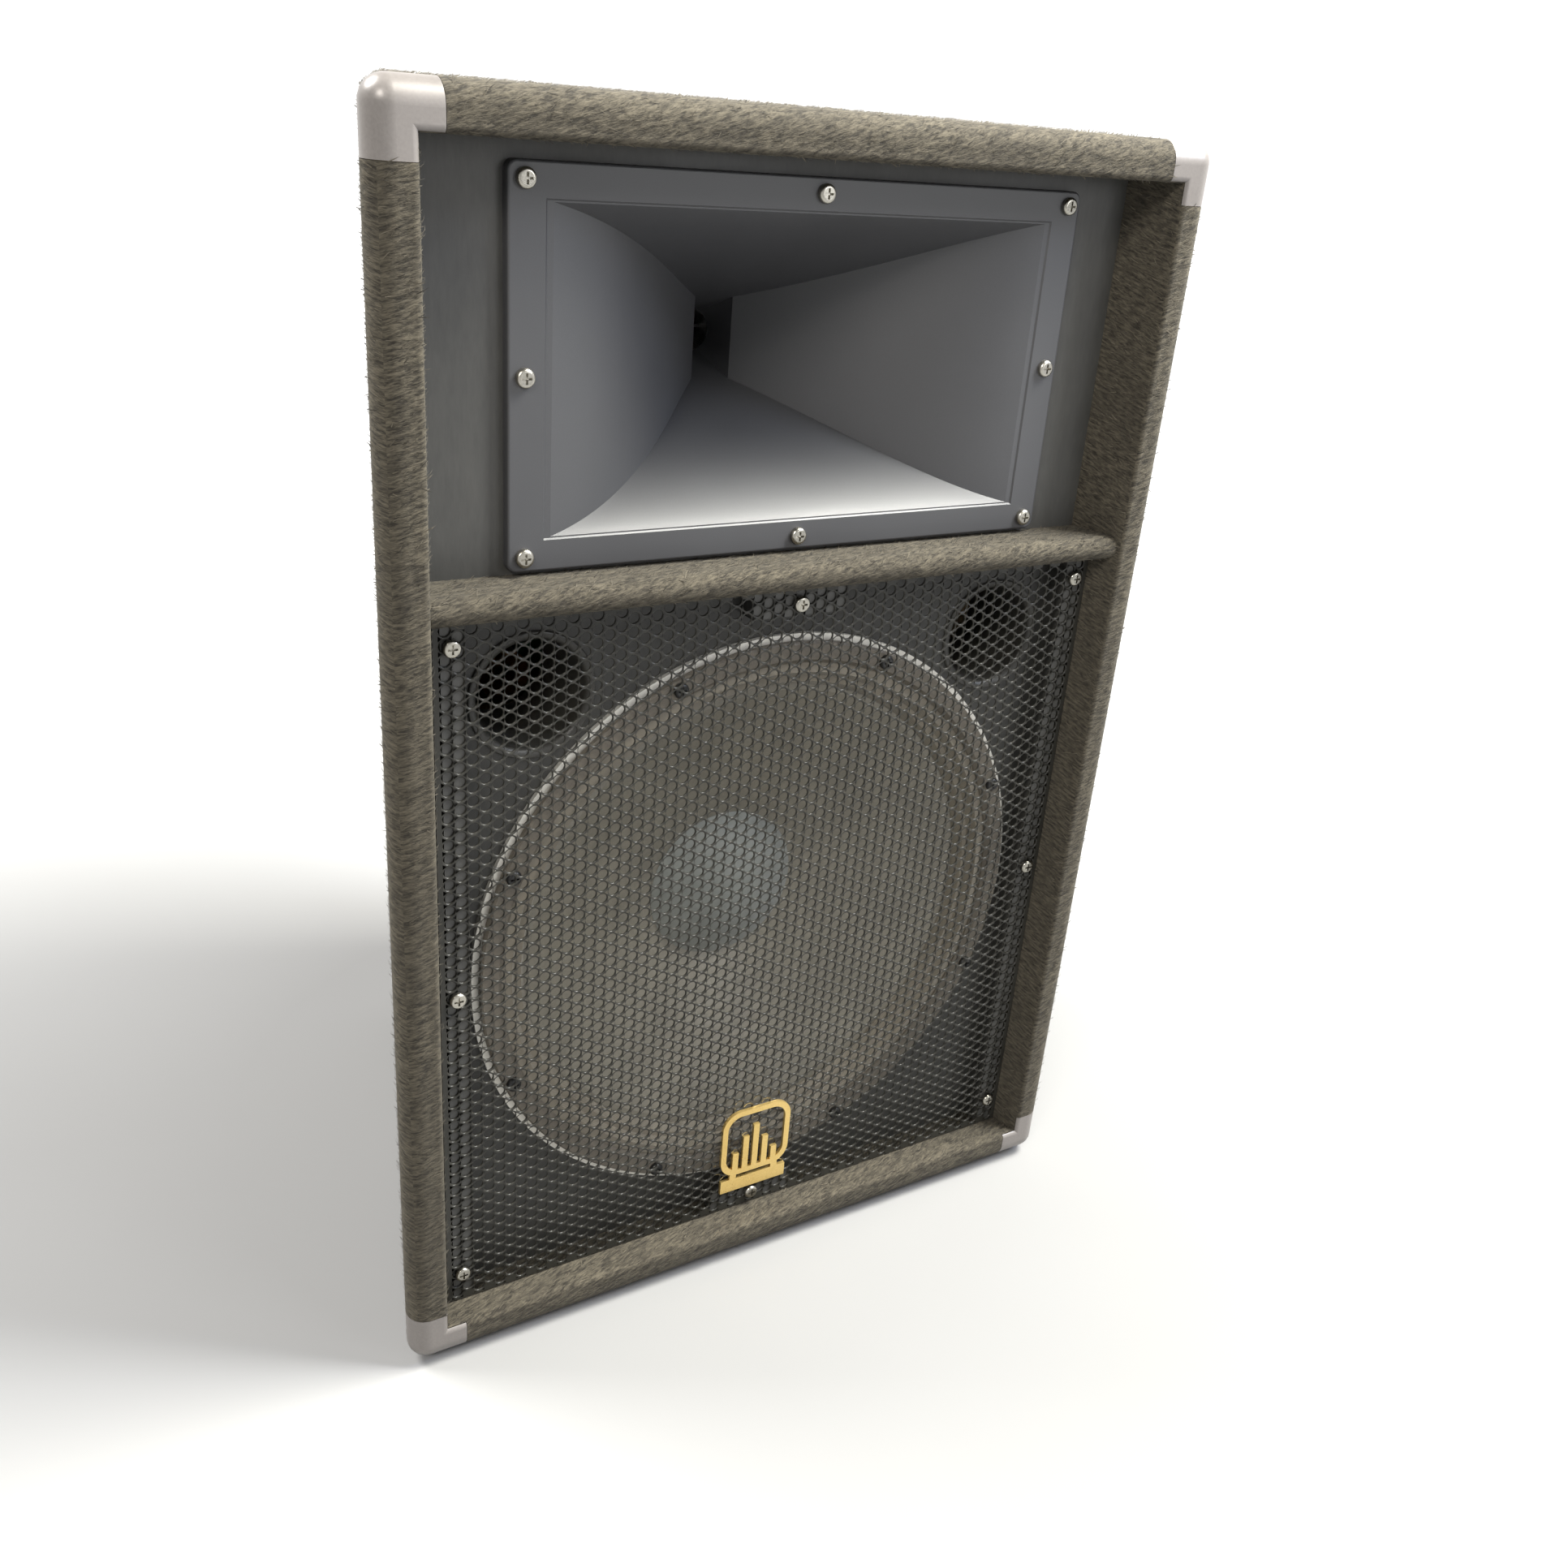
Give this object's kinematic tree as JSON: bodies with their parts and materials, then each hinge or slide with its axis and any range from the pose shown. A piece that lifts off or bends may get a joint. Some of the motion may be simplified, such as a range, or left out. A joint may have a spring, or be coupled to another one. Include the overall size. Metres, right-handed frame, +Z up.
{
  "type": "pa speaker",
  "caption": "Carpeted trapezoidal stage loudspeaker: a rectangular horn above a perforated grille, with a woofer, round ports, corner protectors and side handles.",
  "frame": {"origin": "on the floor, under the middle of the cabinet's bounding box", "axes": "+Z is up, the horn and grille face -Y, and +X is to the right as a listener sees it"},
  "size_m": [0.485, 0.4, 0.712],
  "materials": {
    "carpet": "short needle-punch pile",
    "plywood": "bare birch plywood",
    "black_wood": "satin black paint",
    "corner_grey": "smooth satin",
    "foot_rubber": "matte",
    "black_steel": "fine textured black",
    "handle_black": "fine grained",
    "screw_steel": "zinc plated",
    "screw_black": "black zinc",
    "socket_black": "satin",
    "board": "satin",
    "crossover": "lacquered",
    "wadding": "soft wadding",
    "cast_frame": "bare cast metal",
    "cone_paper": "pressed paper",
    "dust_cap": "pressed felt",
    "treated_cloth": "doped cloth",
    "spider_cloth": "resined cloth",
    "gasket": "compressed fibre",
    "copper": "enamelled wire",
    "ferrite": "ceramic",
    "plate_steel": "zinc plated",
    "terminal": "satin",
    "horn_black": "satin",
    "phase_plug": "satin",
    "titanium": "foil",
    "port_black": "satin",
    "badge_gold": "satin gold",
    "lead_black": "satin"
  },
  "bodies": {
    "cabinet": {"top_panel": "plywood", "bottom_panel": "plywood", "left_side_panel": "plywood", "right_side_panel": "plywood", "back_panel": "plywood", "baffle": "black_wood", "internal_brace": "plywood", "divider_bar": "plywood", "carpet_divider": "carpet", "carpet_wrap": "carpet", "carpet_back": "carpet", "corner_screws": "screw_steel", "feet": "foot_rubber", "pole_socket": "black_steel", "bottom_screws": "screw_black", "handle_left": "handle_black", "handle_right": "handle_black", "handle_screws": "screw_black", "input_plate": "black_steel", "speaker_sockets": "socket_black", "phone_jacks": "socket_black", "input_plate_screws": "screw_black", "crossover_board": "board", "crossover_parts": "crossover", "damping_lining": "wadding", "woofer_basket": "cast_frame", "woofer_gasket": "gasket", "woofer_bolts": "screw_black", "woofer_top_plate": "plate_steel", "woofer_magnet": "ferrite", "woofer_yoke": "plate_steel", "woofer_terminal": "terminal", "woofer_surround": "treated_cloth", "woofer_spider": "spider_cloth", "horn": "horn_black", "horn_screws": "screw_steel", "driver_pole_plate": "plate_steel", "driver_magnet": "ferrite", "driver_top_plate": "plate_steel", "driver_phase_plug": "phase_plug", "driver_back_cap": "socket_black", "port_tube_left": "port_black", "port_tube_right": "port_black", "grille": "black_steel", "grille_battens": "black_wood", "grille_screws": "screw_steel", "badge": "badge_gold", "internal_leads": "lead_black", "corner_front_bottom_left": "corner_grey", "corner_front_bottom_right": "corner_grey", "corner_front_top_left": "corner_grey", "corner_front_top_right": "corner_grey", "corner_rear_bottom_left": "corner_grey", "corner_rear_bottom_right": "corner_grey", "corner_rear_top_left": "corner_grey", "corner_rear_top_right": "corner_grey"},
    "woofer_moving_assembly": {"woofer_cone": "cone_paper", "woofer_dust_cap": "dust_cap", "woofer_voice_coil": "copper"},
    "hf_moving_assembly": {"hf_diaphragm": "titanium"}
  },
  "joints": [
    {"name": "woofer_excursion", "type": "slide", "parent": "cabinet", "child": "woofer_moving_assembly", "axis": [0, -1, 0], "range_m": [-0.006, 0.006], "stiffness_N_per_m": 6000, "deforming": ["woofer_surround", "woofer_spider"]},
    {"name": "hf_excursion", "type": "slide", "parent": "cabinet", "child": "hf_moving_assembly", "axis": [0, -1, 0], "range_m": [-0.0004, 0.0004], "stiffness_N_per_m": 20000}
  ]
}
